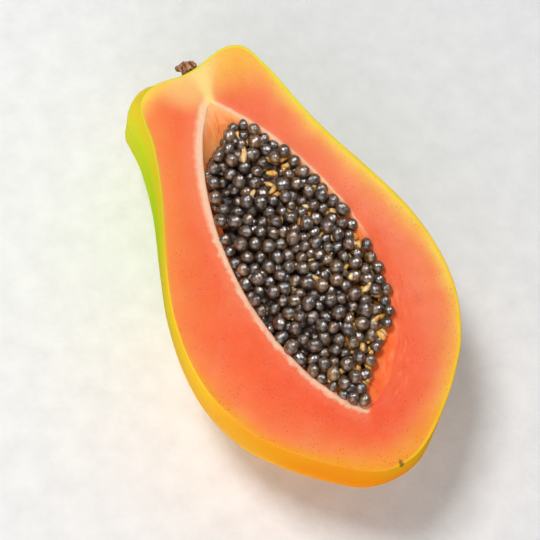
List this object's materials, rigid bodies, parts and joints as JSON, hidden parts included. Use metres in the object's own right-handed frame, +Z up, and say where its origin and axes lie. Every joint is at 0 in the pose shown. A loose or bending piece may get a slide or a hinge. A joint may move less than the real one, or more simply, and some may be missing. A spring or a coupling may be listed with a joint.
{
  "type": "papaya half",
  "caption": "Half of a ripe papaya cut lengthwise, lying on its skin with the cut face up and its seed cavity full of dark seeds.",
  "frame": {"origin": "centre of the bounding box's bottom, on the surface that the half lies on", "axes": "+Y along the fruit's length towards the stalk, +Z up out of the cut face, +X across"},
  "size_m": [0.1166, 0.1968, 0.0679],
  "materials": {
    "fruit": "moist orange flesh inside a thin, waxy skin that turns from lime green at the stalk to orange",
    "seed": "wet, near black seeds in a clear coat",
    "stalk": "dry, rough and brown"
  },
  "bodies": {
    "root": {"fruit_half": "fruit", "seeds": "seed", "stalk_stub": "stalk"}
  },
  "joints": []
}
